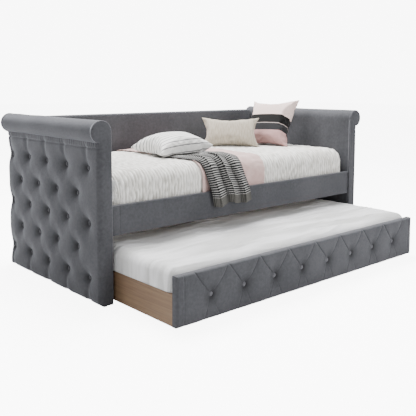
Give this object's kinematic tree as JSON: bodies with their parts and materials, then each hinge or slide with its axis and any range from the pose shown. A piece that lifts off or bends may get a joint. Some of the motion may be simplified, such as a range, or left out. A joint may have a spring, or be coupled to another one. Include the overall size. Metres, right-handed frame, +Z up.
{
  "type": "daybed",
  "caption": "Upholstered daybed with rolled arms, buttoned sides, a mattress with bedding and cushions, and a roll-out trundle bed on casters.",
  "frame": {"origin": "middle of the floor area that the bed covers with its trundle half out, on the floor", "axes": "+X along the bed to the right seen from the front, +Y from front to back, +Z up"},
  "size_m": [2.154, 1.511, 1.0024],
  "materials": {
    "velvet": "brushed velvet, mid grey",
    "frame_wood": "sawn pine",
    "board": "plywood",
    "slat_wood": "planed pine",
    "oak": "oak veneer, matt",
    "rear_cloth": "thin woven dust cloth",
    "steel": "zinc plated",
    "wheel_plastic": "moulded",
    "glide_plastic": "moulded",
    "ticking": "knitted mattress cover",
    "coverlet": "ribbed cotton",
    "runner": "brushed cotton",
    "throw": "striped knit",
    "striped_cotton": "striped cotton",
    "cream_linen": "linen",
    "colour_block": "printed cotton"
  },
  "bodies": {
    "daybed": {"arm_buttons_left": "velvet", "arm_buttons_right": "velvet", "arm_front_facing_left": "velvet", "arm_front_facing_right": "velvet", "arm_front_post_left": "frame_wood", "arm_front_post_right": "frame_wood", "arm_inner_pad_left": "velvet", "arm_inner_pad_right": "velvet", "arm_outer_pad_left": "velvet", "arm_outer_pad_right": "velvet", "arm_panel_left": "board", "arm_panel_right": "board", "arm_rear_facing_left": "velvet", "arm_rear_facing_right": "velvet", "arm_rear_post_left": "frame_wood", "arm_rear_post_right": "frame_wood", "arm_roll_left": "velvet", "arm_roll_right": "velvet", "back_board": "board", "back_bottom_rail": "frame_wood", "back_middle_rail": "frame_wood", "back_pad": "velvet", "back_rear_cloth": "rear_cloth", "back_top_rail": "frame_wood", "bed_runner": "runner", "bracket_bolts": "steel", "colour_block_cushion": "colour_block", "corner_brackets": "steel", "coverlet": "coverlet", "cream_cushion": "cream_linen", "floor_glides": "glide_plastic", "front_ledger": "frame_wood", "front_rail_board": "frame_wood", "front_rail_cover": "velvet", "mattress": "ticking", "rear_ledger": "frame_wood", "slat_screws": "steel", "slats": "slat_wood", "striped_pillow": "striped_cotton", "throw": "throw"},
    "trundle": {"caster_axles": "steel", "caster_blocks": "frame_wood", "caster_forks": "steel", "trundle_back_board": "oak", "trundle_cleat_front": "frame_wood", "trundle_cleat_rear": "frame_wood", "trundle_end_left": "oak", "trundle_end_right": "oak", "trundle_front_board": "frame_wood", "trundle_front_buttons": "velvet", "trundle_front_pad": "velvet", "trundle_mattress": "ticking", "trundle_slat_screws": "steel", "trundle_slats": "slat_wood"},
    "wheel_front_left": {"wheel_front_left": "wheel_plastic"},
    "wheel_front_right": {"wheel_front_right": "wheel_plastic"},
    "wheel_rear_left": {"wheel_rear_left": "wheel_plastic"},
    "wheel_rear_right": {"wheel_rear_right": "wheel_plastic"}
  },
  "joints": [
    {"name": "trundle_slide", "type": "slide", "parent": "daybed", "child": "trundle", "axis": [0, -1, 0], "range_m": [-0.486, 0.47]},
    {"name": "wheel_front_left_spin", "type": "hinge", "parent": "trundle", "child": "wheel_front_left", "pos_m": [-0.893, -0.6315, 0.025], "axis": [1, 0, 0], "continuous": true},
    {"name": "wheel_front_right_spin", "type": "hinge", "parent": "trundle", "child": "wheel_front_right", "pos_m": [0.893, -0.6315, 0.025], "axis": [1, 0, 0], "continuous": true},
    {"name": "wheel_rear_left_spin", "type": "hinge", "parent": "trundle", "child": "wheel_rear_left", "pos_m": [-0.893, 0.0705, 0.025], "axis": [1, 0, 0], "continuous": true},
    {"name": "wheel_rear_right_spin", "type": "hinge", "parent": "trundle", "child": "wheel_rear_right", "pos_m": [0.893, 0.0705, 0.025], "axis": [1, 0, 0], "continuous": true}
  ],
  "couplings": [
    {"joint": "wheel_front_left_spin", "follows": "trundle_slide", "rad_per_m": 40},
    {"joint": "wheel_front_right_spin", "follows": "trundle_slide", "rad_per_m": 40},
    {"joint": "wheel_rear_left_spin", "follows": "trundle_slide", "rad_per_m": 40},
    {"joint": "wheel_rear_right_spin", "follows": "trundle_slide", "rad_per_m": 40}
  ]
}
